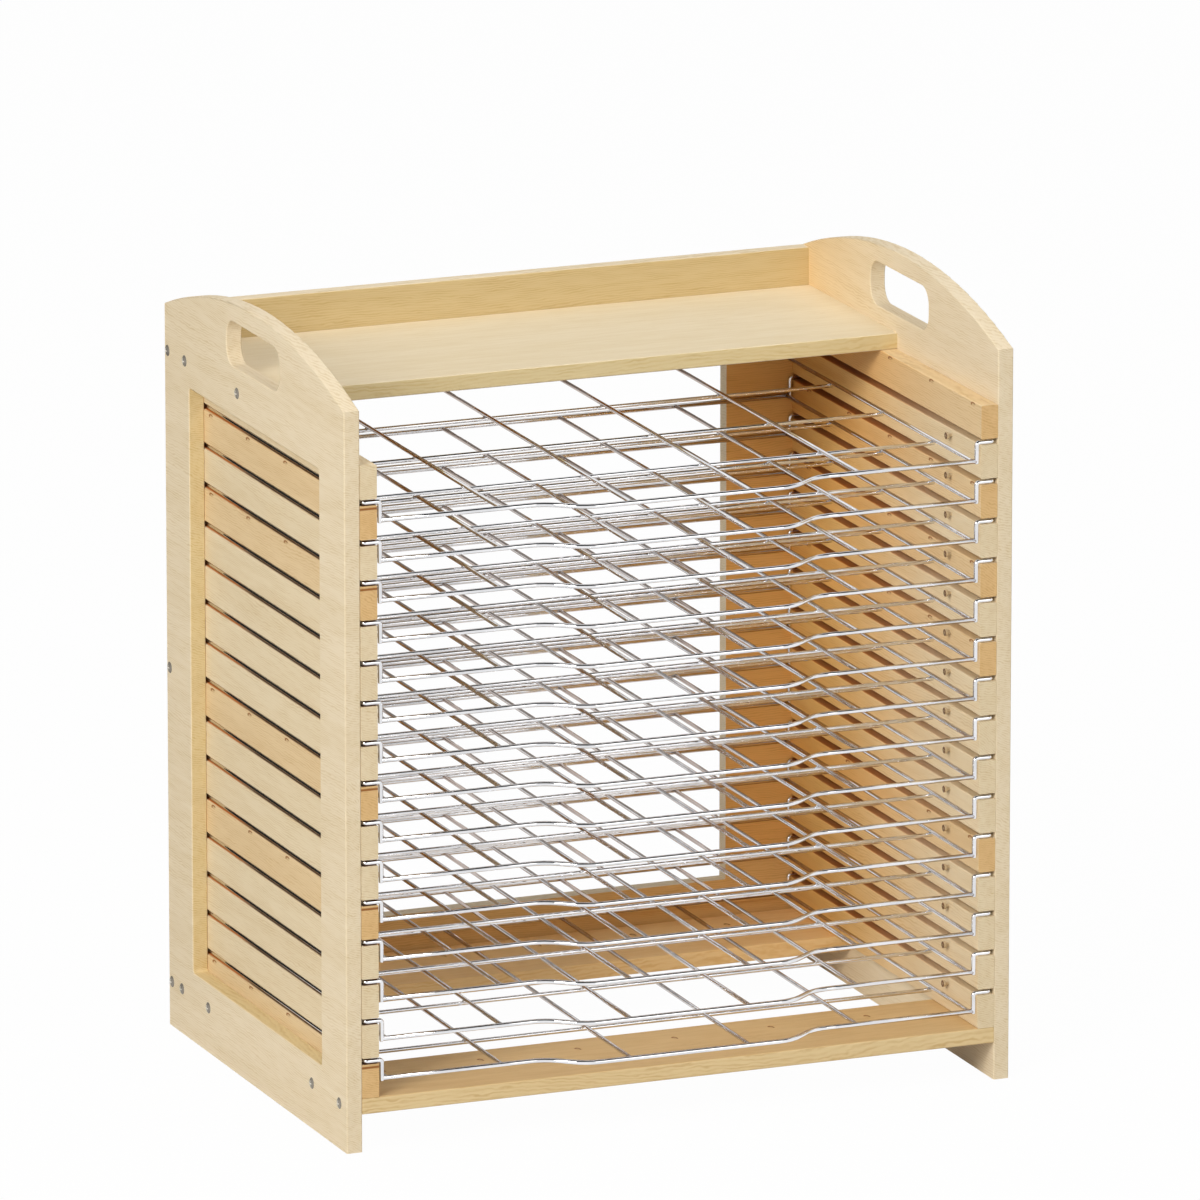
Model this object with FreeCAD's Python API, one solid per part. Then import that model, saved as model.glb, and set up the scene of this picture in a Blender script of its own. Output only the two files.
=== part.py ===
import FreeCAD
import Part

import math
import os

# An art drying rack: a wooden case with two louvred sides, a carry handle in each side,
# a short shelf on top, and fifteen welded wire trays that slide out to the front.
# Millimetres, Z = 0 at the floor. The pieces are made with X = 0 in the middle of the case
# and Y = 0 at its front face. The trays' finger pulls stand out in front of that, so the
# finished pieces are moved to put the origin under the middle of the whole rack.

Vec = FreeCAD.Vector

# Case
CASE_WIDTH = 518.0
CASE_DEPTH = 364.0
CORNER_HEIGHT = 548.0
ARCH_RISE = 32.0
SIDE_THICKNESS = 12.0
BACK_THICKNESS = 12.0
SHELF_THICKNESS = 12.0
BOTTOM_THICKNESS = 12.0
EDGE_EASE = 1.0

# Window in each side panel, closed by the slats from inside
FRONT_STILE = 50.0
BACK_STILE = 50.0
WINDOW_LAP = 12.5
WINDOW_CORNER_RADIUS = 3.0

# Handle cut-out in each side panel
HANDLE_LENGTH = 108.0
HANDLE_HEIGHT = 33.0
HANDLE_CORNER_RADIUS = 13.0
HANDLE_TOP_MARGIN = 15.0

# Back panel
BACK_FLOOR_GAP = 28.0
BACK_STILE_WIDTH = 66.0
BACK_TOP_RAIL = 70.0
BACK_BOTTOM_RAIL = 40.0
REBATE_DEPTH = 3.0
REBATE_REACH = 9.5

# Top shelf and bottom boards
SHELF_DEPTH = 167.0
BOTTOM_BOARD_DEPTH = 85.0
BOTTOM_BOARD_FLOOR_GAP = 28.0

# Slats, with a slot for a tray's rail between each one and the next
TRAY_COUNT = 15
SLAT_THICKNESS = 13.0
SLAT_HEIGHT = 25.0
SLOT_HEIGHT = 4.5

# Tray wires
RIM_WIRE = 3.5
SIDE_WIRE = 3.0
CROSS_WIRE = 3.0
LONG_WIRE = 3.0
CROSS_WIRE_COUNT = 3
LONG_WIRE_COUNT = 4
TRAY_DROP = 13.8
RIM_BEND_RADIUS = 2.2
FIRST_CROSS_WIRE = 74.5
CROSS_WIRE_PITCH = 95.2
PULL_DEPTH = 20.0
PULL_HALF_WIDTH = 80.0
PULL_RAMP_LENGTH = 25.6
PULL_BEND_RADIUS = 30.0

# Running clearances of a tray in the case
RAIL_FLOOR_CLEARANCE = 0.3
RAIL_SIDE_CLEARANCE = 1.2
DROP_SIDE_CLEARANCE = 1.0
TRAY_BACK_CLEARANCE = 0.3

# Stop screws on the slats, which end a tray's travel
STOP_SETBACK = 54.0
STOP_BELOW_SLOT = 4.5
STOP_HEAD_DIAMETER = 5.0
STOP_HEAD_HEIGHT = 1.8
STOP_SHANK_DIAMETER = 2.6
STOP_REACH = 4.6
STOP_DEPTH_IN_SLAT = 8.0
STOP_RECESS_WIDTH = 0.7
STOP_RECESS_SPAN = 2.8
STOP_RECESS_DEPTH = 0.8

# Case screws
SCREW_HEAD_DIAMETER = 8.4
SCREW_HEAD_RISE = 1.6
SCREW_SHANK_DIAMETER = 3.8
SCREW_LENGTH = 40.0
SCREW_HOLE_CLEARANCE = 0.2
SCREW_RECESS_WIDTH = 1.0
SCREW_RECESS_SPAN = 4.4
SCREW_RECESS_DEPTH = 1.0
SHELF_SCREW_INSET = 29.5
BOTTOM_SCREW_INSET = 15.0

# Blind dowels that hold the slats to the side panels
DOWEL_DIAMETER = 6.0
DOWEL_DEPTH_IN_SLAT = 9.0
DOWEL_DEPTH_IN_PANEL = 8.0
DOWEL_END_GAP = 0.5

# Places that follow from the sizes above
half_width = CASE_WIDTH / 2
panel_face = half_width - SIDE_THICKNESS
slat_face = panel_face - SLAT_THICKNESS
back_face = CASE_DEPTH - BACK_THICKNESS
slat_count = TRAY_COUNT + 1
slat_pitch = SLAT_HEIGHT + SLOT_HEIGHT
bottom_board_top = BOTTOM_BOARD_FLOOR_GAP + BOTTOM_THICKNESS
slat_stack_top = bottom_board_top + slat_count * SLAT_HEIGHT + TRAY_COUNT * SLOT_HEIGHT
window_front = FRONT_STILE
window_back = CASE_DEPTH - BACK_STILE
window_bottom = bottom_board_top + WINDOW_LAP
window_top = slat_stack_top - WINDOW_LAP
shelf_front = back_face - SHELF_DEPTH
shelf_middle_height = slat_stack_top + SHELF_THICKNESS / 2
bottom_middle_height = bottom_board_top - BOTTOM_THICKNESS / 2
rear_board_front = back_face - BOTTOM_BOARD_DEPTH

rim_radius = RIM_WIRE / 2
rail_x = panel_face - RAIL_SIDE_CLEARANCE - rim_radius
drop_x = slat_face - DROP_SIDE_CLEARANCE - rim_radius
tray_front = rim_radius
tray_back = back_face - TRAY_BACK_CLEARANCE - rim_radius
pull_front = tray_front - PULL_DEPTH - rim_radius
# A bar of the rim ends inside its drop, and the drop's end stands just below the bar.
bar_end = drop_x - rim_radius / 3
drop_foot = -TRAY_DROP - rim_radius * 1.15
origin_setback = (pull_front + CASE_DEPTH) / 2


def vector_on(axis, along):
    """A vector of the given length on one of the axes 0, 1, 2."""
    values = [0.0, 0.0, 0.0]
    values[axis] = along
    return Vec(*values)


def board(low, high, grain_axis):
    """A box from its low to its high corner, with its four long edges eased."""
    size = Vec(*high) - Vec(*low)
    box = Part.makeBox(size.x, size.y, size.z, Vec(*low))
    along = vector_on(grain_axis, 1.0)
    edges = []
    for edge in box.Edges:
        if abs(edge.tangentAt(edge.FirstParameter).dot(along)) > 0.9:
            edges.append(edge)
    ease = min(EDGE_EASE, min(size) / 4)
    return box.makeFillet(ease, edges)


def cylinder(diameter, start, axis, length):
    """A cylinder from a start point along an axis; a negative length goes backwards."""
    direction = vector_on(axis, math.copysign(1.0, length))
    return Part.makeCylinder(diameter / 2, abs(length), Vec(*start), direction)


def rounded_window(axis_from, axis_to, low_y, low_z, high_y, high_z, radius):
    """A prism along X through a side panel: a rectangle in Y and Z with round corners."""
    box = Part.makeBox(axis_to - axis_from, high_y - low_y, high_z - low_z,
                       Vec(axis_from, low_y, low_z))
    edges = []
    for edge in box.Edges:
        if abs(edge.tangentAt(edge.FirstParameter).x) > 0.9:
            edges.append(edge)
    return box.makeFillet(radius, edges)


# Screws and dowels: where they go, so that the holes follow them

def case_screw_places():
    """The Y and Z of the nine screws in each side panel."""
    back_middle = CASE_DEPTH - BACK_THICKNESS / 2
    places = []
    for height in (bottom_middle_height, CORNER_HEIGHT / 2, shelf_middle_height):
        places.append((back_middle, height))
    for depth in (shelf_front + SHELF_SCREW_INSET, back_face - SHELF_SCREW_INSET):
        places.append((depth, shelf_middle_height))
    for front in (0.0, rear_board_front):
        for depth in (front + BOTTOM_SCREW_INSET, front + BOTTOM_BOARD_DEPTH - BOTTOM_SCREW_INSET):
            places.append((depth, bottom_middle_height))
    return places


def slat_bottom(number):
    """The height of a slat's lower edge; number 1 is the highest slat."""
    return bottom_board_top + (slat_count - number) * slat_pitch


def dowel_depths():
    """The Y of a slat's two dowels: the middle of what it covers of each stile."""
    return (window_front / 2, (window_back + back_face) / 2)


def stop_height(tray):
    """The height of the stop screws under a tray's slot."""
    return slat_bottom(tray + 1) + SLAT_HEIGHT - STOP_BELOW_SLOT


def screw_holes(side, from_x, reach):
    """Clearance holes for a side's case screws, from a plane X inwards."""
    holes = []
    diameter = SCREW_SHANK_DIAMETER + SCREW_HOLE_CLEARANCE
    for depth, height in case_screw_places():
        holes.append(cylinder(diameter, (side * from_x, depth, height), 0, -side * reach))
    return holes


def cut_screw_holes(shape):
    """Cut the screws' pilot holes into a board that ends at the side panels."""
    reach = SCREW_LENGTH - SIDE_THICKNESS + SCREW_HOLE_CLEARANCE
    for side in (-1, 1):
        shape = shape.cut(Part.makeCompound(screw_holes(side, panel_face, reach)))
    return shape


# Case boards

def arched_outline(x):
    """A side panel's outline in the plane of X: straight below, one arc on top."""
    front = Vec(x, 0, CORNER_HEIGHT)
    back = Vec(x, CASE_DEPTH, CORNER_HEIGHT)
    crown = Vec(x, CASE_DEPTH / 2, CORNER_HEIGHT + ARCH_RISE)
    return Part.Wire([
        Part.LineSegment(Vec(x, 0, 0), front).toShape(),
        Part.Arc(front, crown, back).toShape(),
        Part.LineSegment(back, Vec(x, CASE_DEPTH, 0)).toShape(),
        Part.LineSegment(Vec(x, CASE_DEPTH, 0), Vec(x, 0, 0)).toShape(),
    ])


def handle_opening(low_x):
    """The handle's cut-out, centred in the panel's depth under the arch."""
    low_y = (CASE_DEPTH - HANDLE_LENGTH) / 2
    high_z = CORNER_HEIGHT + ARCH_RISE - HANDLE_TOP_MARGIN
    return rounded_window(low_x, low_x + SIDE_THICKNESS, low_y, high_z - HANDLE_HEIGHT,
                          low_y + HANDLE_LENGTH, high_z, HANDLE_CORNER_RADIUS)


def ease_side_panel(panel):
    """Ease the rims of the outline and of the two cut-outs on both faces."""
    edges = []
    for edge in panel.Edges:
        box = edge.BoundBox
        on_a_face = box.XLength < 1e-6
        at_floor = box.ZMax < 1e-6
        if on_a_face and not at_floor:
            edges.append(edge)
    return panel.makeFillet(min(EDGE_EASE, SIDE_THICKNESS / 4), edges)


def side_panel(side):
    """One side: an arched board with a window for the slats and a handle cut-out."""
    low_x = -half_width if side < 0 else panel_face
    panel = Part.Face(arched_outline(low_x)).extrude(Vec(SIDE_THICKNESS, 0, 0))
    window = rounded_window(low_x, low_x + SIDE_THICKNESS, window_front, window_bottom,
                            window_back, window_top, WINDOW_CORNER_RADIUS)
    panel = panel.cut(window).cut(handle_opening(low_x))
    panel = ease_side_panel(panel)
    holes = screw_holes(side, half_width, SIDE_THICKNESS)
    for number in range(1, slat_count + 1):
        height = slat_bottom(number) + SLAT_HEIGHT / 2
        for depth in dowel_depths():
            holes.append(cylinder(DOWEL_DIAMETER, (side * panel_face, depth, height), 0,
                                  side * (DOWEL_DEPTH_IN_PANEL + DOWEL_END_GAP)))
    return panel.cut(Part.makeCompound(holes))


def back_panel():
    """The back: a frame around a window, rebated along the bottom of its front face."""
    low = (-panel_face, back_face, BACK_FLOOR_GAP)
    high = (panel_face, CASE_DEPTH, CORNER_HEIGHT)
    panel = board(low, high, 0)
    opening_low = BACK_FLOOR_GAP + BACK_BOTTOM_RAIL
    opening_high = CORNER_HEIGHT - BACK_TOP_RAIL
    opening_half = panel_face - BACK_STILE_WIDTH
    window = Part.makeBox(2 * opening_half, BACK_THICKNESS, opening_high - opening_low,
                          Vec(-opening_half, back_face, opening_low))
    rebate_height = bottom_board_top + REBATE_REACH - BACK_FLOOR_GAP
    rebate = Part.makeBox(2 * panel_face, REBATE_DEPTH, rebate_height,
                          Vec(-panel_face, back_face, BACK_FLOOR_GAP))
    return cut_screw_holes(panel.cut(window).cut(rebate))


def top_shelf():
    """The shelf that lies on the slats, from the back panel to the middle of the case."""
    low = (-panel_face, shelf_front, slat_stack_top)
    high = (panel_face, back_face, slat_stack_top + SHELF_THICKNESS)
    return cut_screw_holes(board(low, high, 0))


def bottom_board(front, back):
    """One of the two boards across the bottom, between the side panels."""
    low = (-panel_face, front, BOTTOM_BOARD_FLOOR_GAP)
    high = (panel_face, back, bottom_board_top)
    return cut_screw_holes(board(low, high, 0))


def slat(side, number):
    """One slat, with its blind dowel holes and the hole for its stop screw."""
    inner = side * slat_face
    outer = side * panel_face
    low_z = slat_bottom(number)
    strip = board((min(inner, outer), 0, low_z), (max(inner, outer), back_face, low_z + SLAT_HEIGHT), 1)
    holes = []
    for depth in dowel_depths():
        holes.append(cylinder(DOWEL_DIAMETER, (outer, depth, low_z + SLAT_HEIGHT / 2), 0,
                              -side * (DOWEL_DEPTH_IN_SLAT + DOWEL_END_GAP)))
    if number > 1:
        holes.append(cylinder(STOP_SHANK_DIAMETER, (inner, STOP_SETBACK, stop_height(number - 1)), 0,
                              side * STOP_DEPTH_IN_SLAT))
    return strip.cut(Part.makeCompound(holes))


# Fasteners

def cross_recess(span, width, depth, face_x, side):
    """A cross-shaped recess that goes into a screw head from its crown at face_x."""
    low_x = min(face_x, face_x - side * depth)
    upright = Part.makeBox(depth, width, span, Vec(low_x, -width / 2, -span / 2))
    level = Part.makeBox(depth, span, width, Vec(low_x, -span / 2, -width / 2))
    return upright.fuse(level)


def domed_head(diameter, rise, side):
    """A low spherical dome on the plane X = 0 that bulges towards the given side."""
    radius = (diameter * diameter / 4 + rise * rise) / (2 * rise)
    ball = Part.makeSphere(radius, Vec(side * (rise - radius), 0, 0))
    low_x = 0 if side > 0 else -rise
    block = Part.makeBox(rise, diameter, diameter, Vec(low_x, -diameter / 2, -diameter / 2))
    return ball.common(block)


def case_screws():
    """Every screw through the side panels: a domed head, a cross recess and a shank."""
    screws = []
    for side in (-1, 1):
        head = domed_head(SCREW_HEAD_DIAMETER, SCREW_HEAD_RISE, side)
        shank = cylinder(SCREW_SHANK_DIAMETER, (0, 0, 0), 0, -side * SCREW_LENGTH)
        recess = cross_recess(SCREW_RECESS_SPAN, SCREW_RECESS_WIDTH, SCREW_RECESS_DEPTH,
                              side * SCREW_HEAD_RISE, side)
        screw = head.fuse(shank).cut(recess)
        for depth, height in case_screw_places():
            screws.append(screw.translated(Vec(side * half_width, depth, height)))
    return Part.makeCompound(screws)


def stop_screws():
    """The stop screws: each head stands inside the case, in the path of a tray's rear wire."""
    screws = []
    for side in (-1, 1):
        crown_x = side * (slat_face - STOP_REACH)
        length = STOP_REACH + STOP_DEPTH_IN_SLAT
        head = cylinder(STOP_HEAD_DIAMETER, (crown_x, 0, 0), 0, side * STOP_HEAD_HEIGHT)
        shank = cylinder(STOP_SHANK_DIAMETER, (crown_x, 0, 0), 0, side * length)
        recess = cross_recess(STOP_RECESS_SPAN, STOP_RECESS_WIDTH, STOP_RECESS_DEPTH, crown_x, -side)
        screw = head.fuse(shank).cut(recess)
        for tray in range(1, TRAY_COUNT + 1):
            screws.append(screw.translated(Vec(0, STOP_SETBACK, stop_height(tray))))
    return Part.makeCompound(screws)


def slat_dowels(side):
    """The blind dowels of one side, two for each slat."""
    dowels = []
    start_x = side * (panel_face - DOWEL_DEPTH_IN_SLAT)
    length = side * (DOWEL_DEPTH_IN_SLAT + DOWEL_DEPTH_IN_PANEL)
    for number in range(1, slat_count + 1):
        for depth in dowel_depths():
            height = slat_bottom(number) + SLAT_HEIGHT / 2
            dowels.append(cylinder(DOWEL_DIAMETER, (start_x, depth, height), 0, length))
    return Part.makeCompound(dowels)


# Wire trays

def rounded_path(points, radii):
    """Straight runs joined by tangent arcs; radii holds one bend for each inner point."""
    edges = []
    start = points[0]
    for before, corner, after, radius in zip(points, points[1:], points[2:], radii):
        to_before = (before - corner).normalize()
        to_after = (after - corner).normalize()
        half_angle = to_before.getAngle(to_after) / 2
        tangent = radius / math.tan(half_angle)
        inward = (to_before + to_after).normalize()
        centre = corner + inward * (radius / math.sin(half_angle))
        arc_start = corner + to_before * tangent
        arc_end = corner + to_after * tangent
        edges.append(Part.LineSegment(start, arc_start).toShape())
        edges.append(Part.Arc(arc_start, centre - inward * radius, arc_end).toShape())
        start = arc_end
    edges.append(Part.LineSegment(start, points[-1]).toShape())
    return Part.Wire(edges)


def bent_wire(points, radii, diameter):
    """A round wire along a rounded path."""
    path = rounded_path(points, radii)
    section = Part.Wire(Part.Circle(points[0], points[1] - points[0], diameter / 2).toShape())
    return path.makePipe(Part.Face(section))


def rim_side(side):
    """One side of a tray's rim: a rail with a jog and a drop at each end."""
    points = [
        Vec(side * drop_x, tray_front, drop_foot),
        Vec(side * drop_x, tray_front, 0),
        Vec(side * rail_x, tray_front, 0),
        Vec(side * rail_x, tray_back, 0),
        Vec(side * drop_x, tray_back, 0),
        Vec(side * drop_x, tray_back, drop_foot),
    ]
    return bent_wire(points, [RIM_BEND_RADIUS] * 4, RIM_WIRE)


def front_bar():
    """The rim's front bar, bent forward in the middle into the finger pull."""
    ramp_x = PULL_HALF_WIDTH + PULL_RAMP_LENGTH
    points = [
        Vec(-bar_end, tray_front, -TRAY_DROP),
        Vec(-ramp_x, tray_front, -TRAY_DROP),
        Vec(-PULL_HALF_WIDTH, tray_front - PULL_DEPTH, -TRAY_DROP),
        Vec(PULL_HALF_WIDTH, tray_front - PULL_DEPTH, -TRAY_DROP),
        Vec(ramp_x, tray_front, -TRAY_DROP),
        Vec(bar_end, tray_front, -TRAY_DROP),
    ]
    return bent_wire(points, [PULL_BEND_RADIUS] * 4, RIM_WIRE)


def straight_wire(diameter, start, axis, end):
    """A straight wire from a point to the given coordinate on an axis."""
    return cylinder(diameter, start, axis, end - start[axis])


def tray():
    """One tray, with its rails at Z = 0: the rim and the wires welded to it."""
    rear_bar = straight_wire(RIM_WIRE, (-bar_end, tray_back, -TRAY_DROP), 0, bar_end)
    rim = rim_side(-1).fuse([rim_side(1), front_bar(), rear_bar])
    wires = [rim.Solids[0]]
    # The side and long wires lie flush with the top of the bars, and the cross wires under them.
    side_x = drop_x - (RIM_WIRE + SIDE_WIRE) / 2
    side_z = rim_radius - SIDE_WIRE / 2 - TRAY_DROP
    for side in (-1, 1):
        wires.append(straight_wire(SIDE_WIRE, (side * side_x, tray_front + rim_radius, side_z), 1,
                                   tray_back - rim_radius))
    cross_z = side_z - (SIDE_WIRE + CROSS_WIRE) / 2
    for row in range(CROSS_WIRE_COUNT):
        depth = FIRST_CROSS_WIRE + row * CROSS_WIRE_PITCH
        reach = side_x + SIDE_WIRE / 2
        wires.append(straight_wire(CROSS_WIRE, (-reach, depth, cross_z), 0, reach))
    long_z = cross_z + (CROSS_WIRE + LONG_WIRE) / 2
    spacing = 2 * drop_x / (LONG_WIRE_COUNT + 1)
    for column in range(1, LONG_WIRE_COUNT + 1):
        x = -drop_x + column * spacing
        bar_y = tray_front - PULL_DEPTH if abs(x) < PULL_HALF_WIDTH else tray_front
        wires.append(straight_wire(LONG_WIRE, (x, bar_y + rim_radius, long_z), 1,
                                   tray_back - rim_radius))
    return Part.makeCompound(wires)


def tray_height(number):
    """The height of a tray's rails; number 1 is the highest tray."""
    return slat_bottom(number + 1) + SLAT_HEIGHT + RAIL_FLOOR_CLEARANCE + rim_radius


# The whole rack, one node for each piece or group of like fasteners

def build_nodes():
    nodes = {}
    nodes["left_side_panel"] = side_panel(-1)
    nodes["right_side_panel"] = side_panel(1)
    nodes["back_panel"] = back_panel()
    nodes["top_shelf"] = top_shelf()
    nodes["bottom_front_board"] = bottom_board(0, BOTTOM_BOARD_DEPTH)
    nodes["bottom_rear_board"] = bottom_board(rear_board_front, back_face)
    for number in range(1, slat_count + 1):
        nodes[f"left_slat_{number:02d}"] = slat(-1, number)
        nodes[f"right_slat_{number:02d}"] = slat(1, number)
    one_tray = tray()
    for number in range(1, TRAY_COUNT + 1):
        nodes[f"tray_{number:02d}"] = one_tray.translated(Vec(0, 0, tray_height(number)))
    nodes["case_screws"] = case_screws()
    nodes["tray_stop_screws"] = stop_screws()
    nodes["left_slat_dowels"] = slat_dowels(-1)
    nodes["right_slat_dowels"] = slat_dowels(1)
    return nodes


os.makedirs("parts", exist_ok=True)
for name, shape in build_nodes().items():
    shape = shape.translated(Vec(0, -origin_setback, 0))
    shape.exportStep(f"parts/{name}.step")
    print(f"{name}: {len(shape.Solids)} solids, {shape.Volume / 1000:.2f} cm3, valid {shape.isValid()}")

travel = tray_back - STOP_SETBACK - STOP_HEAD_DIAMETER / 2 - rim_radius
print(f"tray travel to the stop screws: {travel:.2f} mm")
print(f"origin behind the front face: {origin_setback:.2f} mm")
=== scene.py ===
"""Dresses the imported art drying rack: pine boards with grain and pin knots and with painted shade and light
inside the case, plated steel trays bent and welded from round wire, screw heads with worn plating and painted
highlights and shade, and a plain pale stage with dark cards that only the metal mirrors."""

import math

import bpy
import numpy as np
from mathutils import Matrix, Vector


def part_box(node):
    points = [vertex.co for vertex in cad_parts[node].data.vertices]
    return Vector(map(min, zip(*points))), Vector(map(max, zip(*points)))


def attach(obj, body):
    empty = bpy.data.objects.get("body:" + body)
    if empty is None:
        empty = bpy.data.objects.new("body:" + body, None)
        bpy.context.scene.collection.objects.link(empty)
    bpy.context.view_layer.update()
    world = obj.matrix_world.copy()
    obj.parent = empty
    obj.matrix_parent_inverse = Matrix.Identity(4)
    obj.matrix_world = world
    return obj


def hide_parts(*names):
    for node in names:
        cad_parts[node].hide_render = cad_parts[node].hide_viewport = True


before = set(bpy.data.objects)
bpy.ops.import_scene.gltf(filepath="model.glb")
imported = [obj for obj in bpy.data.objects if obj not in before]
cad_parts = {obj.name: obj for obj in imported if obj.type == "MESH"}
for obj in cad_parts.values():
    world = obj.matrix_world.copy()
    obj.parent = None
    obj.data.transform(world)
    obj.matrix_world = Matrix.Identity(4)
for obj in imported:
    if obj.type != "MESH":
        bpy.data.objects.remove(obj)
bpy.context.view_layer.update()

bl_info = {
    "name": "Art Drying Rack",
    "version": (1, 0, 0),
    "blender": (4, 5, 0),
    "location": "View3D > Sidebar > Drying Rack",
    "description": "Dresses a packed art drying rack with pine, plated wire and a plain stage",
    "category": "Object",
}

MM = 0.001
TRAY_NAMES = sorted(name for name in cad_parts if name.startswith("tray_") and name[5:].isdigit())
SLAT_NAMES = sorted(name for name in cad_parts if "_slat_" in name and name[-2:].isdigit())
WARM_SLATS = {"left": (2, 4, 9, 12, 16), "right": (1, 3, 5, 7, 12)}
RAIL_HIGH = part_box(TRAY_NAMES[0])[1]
LOWEST_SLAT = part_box("left_slat_16")
SLAT_RISE = LOWEST_SLAT[1].z - LOWEST_SLAT[0].z
SLAT_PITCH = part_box("left_slat_15")[0].z - LOWEST_SLAT[0].z
SLAT_STACK = (LOWEST_SLAT[0].z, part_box("left_slat_01")[1].z)
CASE_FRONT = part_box("left_side_panel")[0].y
SLAT_PATTERN_STEP = 1.37
SIDE_PATTERN_STEP = 7.3
TRAY_COLUMNS = 5
TRAY_ROWS = 3
# The share of a normal along an axis from which a face begins to, and then fully does, look along it.
SQUARE_ON = (0.4, 0.8)
# From where to where along Y the painted inner shade sets in, on the slats and on the rest of the case.
SLAT_DEPTHS = (-150 * MM, 130 * MM)
CASE_DEPTHS = (0.0, 300 * MM)
# The same for the painted shade and light of the slots, and how far in along X a left slot's pale, unpainted
# mouth ends.
RIGHT_SLOT_DEPTHS = (-170 * MM, 60 * MM)
LEFT_SLOT_REAR = (40 * MM, 90 * MM)
LEFT_SLOT_MOUTH = (0.6 * MM, 2 * MM)


def display_colour(red, green, blue):
    """The linear colour that a screen shows as these three values of 0 to 255."""
    shares = np.array((red, green, blue)) / 255
    linear = np.where(shares <= 0.04045, shares / 12.92, ((shares + 0.055) / 1.055) ** 2.4)
    return tuple(float(share) for share in linear)


def colour_property(name, description, shown):
    """A colour of the sidebar, given as a screen shows it."""
    return bpy.props.FloatVectorProperty(name=name, description=description, subtype="COLOR",
                                         default=display_colour(*shown), min=0, max=1)


def length_property(name, description, default):
    """A length of the sidebar, in metres."""
    return bpy.props.FloatProperty(name=name, description=description, default=default, min=0,
                                   unit="LENGTH", subtype="DISTANCE", precision=5)


def share_property(name, description, default, most=1.0):
    """A plain share or strength of the sidebar."""
    return bpy.props.FloatProperty(name=name, description=description, default=default, min=0, max=most)


class RackWoodSettings(bpy.types.PropertyGroup):
    """Colours and grain of the pine boards."""

    case_pale: colour_property("Case Pine", "Early wood of the side and back panels", (238, 222, 193))
    case_line: colour_property("Case Growth Line", "Late wood of the side and back panels", (214, 190, 144))
    shelf_pale: colour_property("Shelf Pine", "Early wood of the top shelf", (236, 221, 191))
    shelf_line: colour_property("Shelf Growth Line", "Late wood of the top shelf", (218, 196, 152))
    slat_pale: colour_property("Slat Pine", "Early wood of the pale slats", (234, 217, 184))
    slat_line: colour_property("Slat Growth Line", "Late wood of the pale slats", (212, 186, 140))
    warm_pale: colour_property("Warm Slat Pine", "Early wood of the warmer slats", (232, 206, 163))
    warm_line: colour_property("Warm Slat Growth Line", "Late wood of the warmer slats", (208, 174, 122))
    board_pale: colour_property("Front Board Pine", "Early wood of the front board", (232, 207, 158))
    board_line: colour_property("Front Board Growth Line", "Late wood of the front board", (205, 170, 114))
    knot: colour_property("Pin Knot", "Colour of the small knots", (150, 96, 46))
    cut_tone: colour_property("Cut Edge Tone", "Tone of the windows' and shelf's cut edges", (245, 240, 216))
    # Painted shade: the two inner tones darken and warm the faces that look into the case, for the shade and
    # warm bounced light there.
    inner_painted_shade: colour_property("Inner Tone", "Tone of the faces deep in the case", (255, 233, 190))
    end_tone: colour_property("End Grain Tone", "Tone of the warmer slats' ends", (250, 236, 214))
    slat_inner_painted_shade: colour_property("Slat Inner Tone", "Tone of the slats' inner faces", (255, 221, 160))
    # Painted shade: the top rail, stile and low rail tones make each part of the back panel's inner face as
    # dark as the light there.
    top_rail_painted_shade: colour_property("Top Rail Tone", "Tone of the back panel's top rail", (231, 235, 228))
    stile_painted_shade: colour_property("Stile Tone", "Tone of the back panel's stiles", (255, 224, 174))
    low_rail_painted_shade: colour_property("Low Rail Tone", "Tone of the back panel's bottom rail", (255, 238, 206))
    # Painted shade and light: the slot tones darken the slots' faces and paint the rear ends of the left
    # slots orange, as if lit.
    slot_painted_shade: colour_property("Slot Tone", "Tone of the right slots' faces", (205, 148, 96))
    left_slot_painted_shade: colour_property("Left Slot Tone", "Tone of the left slots' faces", (112, 82, 62))
    slot_rear_painted_light: colour_property("Slot Rear Tone", "Tone of the left slots' rear ends", (236, 160, 96))
    # Painted shade: the board top tone darkens the front board's top.
    board_top_painted_shade: colour_property("Board Top Tone", "Tone of the front board's top", (240, 230, 220))
    # Painted light: the rear board's pine is brighter and warmer than the front board's, standing in for
    # light in the shaded rear of the case.
    rear_board_pale_and_painted_light: colour_property("Rear Board Pine", "Early wood of the rear board", (255, 217, 157))
    rear_board_line_and_painted_light: colour_property("Rear Board Growth Line", "Late wood of the rear board", (237, 188, 118))
    line_spacing: length_property("Growth Line Spacing", "From one growth line to the next", 1.7 * MM)
    line_strength: share_property("Growth Line Strength", "How dark the growth lines are", 0.7)
    figure_strength: share_property("Figure Strength", "How strong the broad colour bands are", 0.3)
    wander: length_property("Growth Line Wander", "How far a growth line strays from its course", 30 * MM)
    knot_period: length_property("Knot Spacing", "From one pin knot to the next", 76 * MM)


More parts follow.
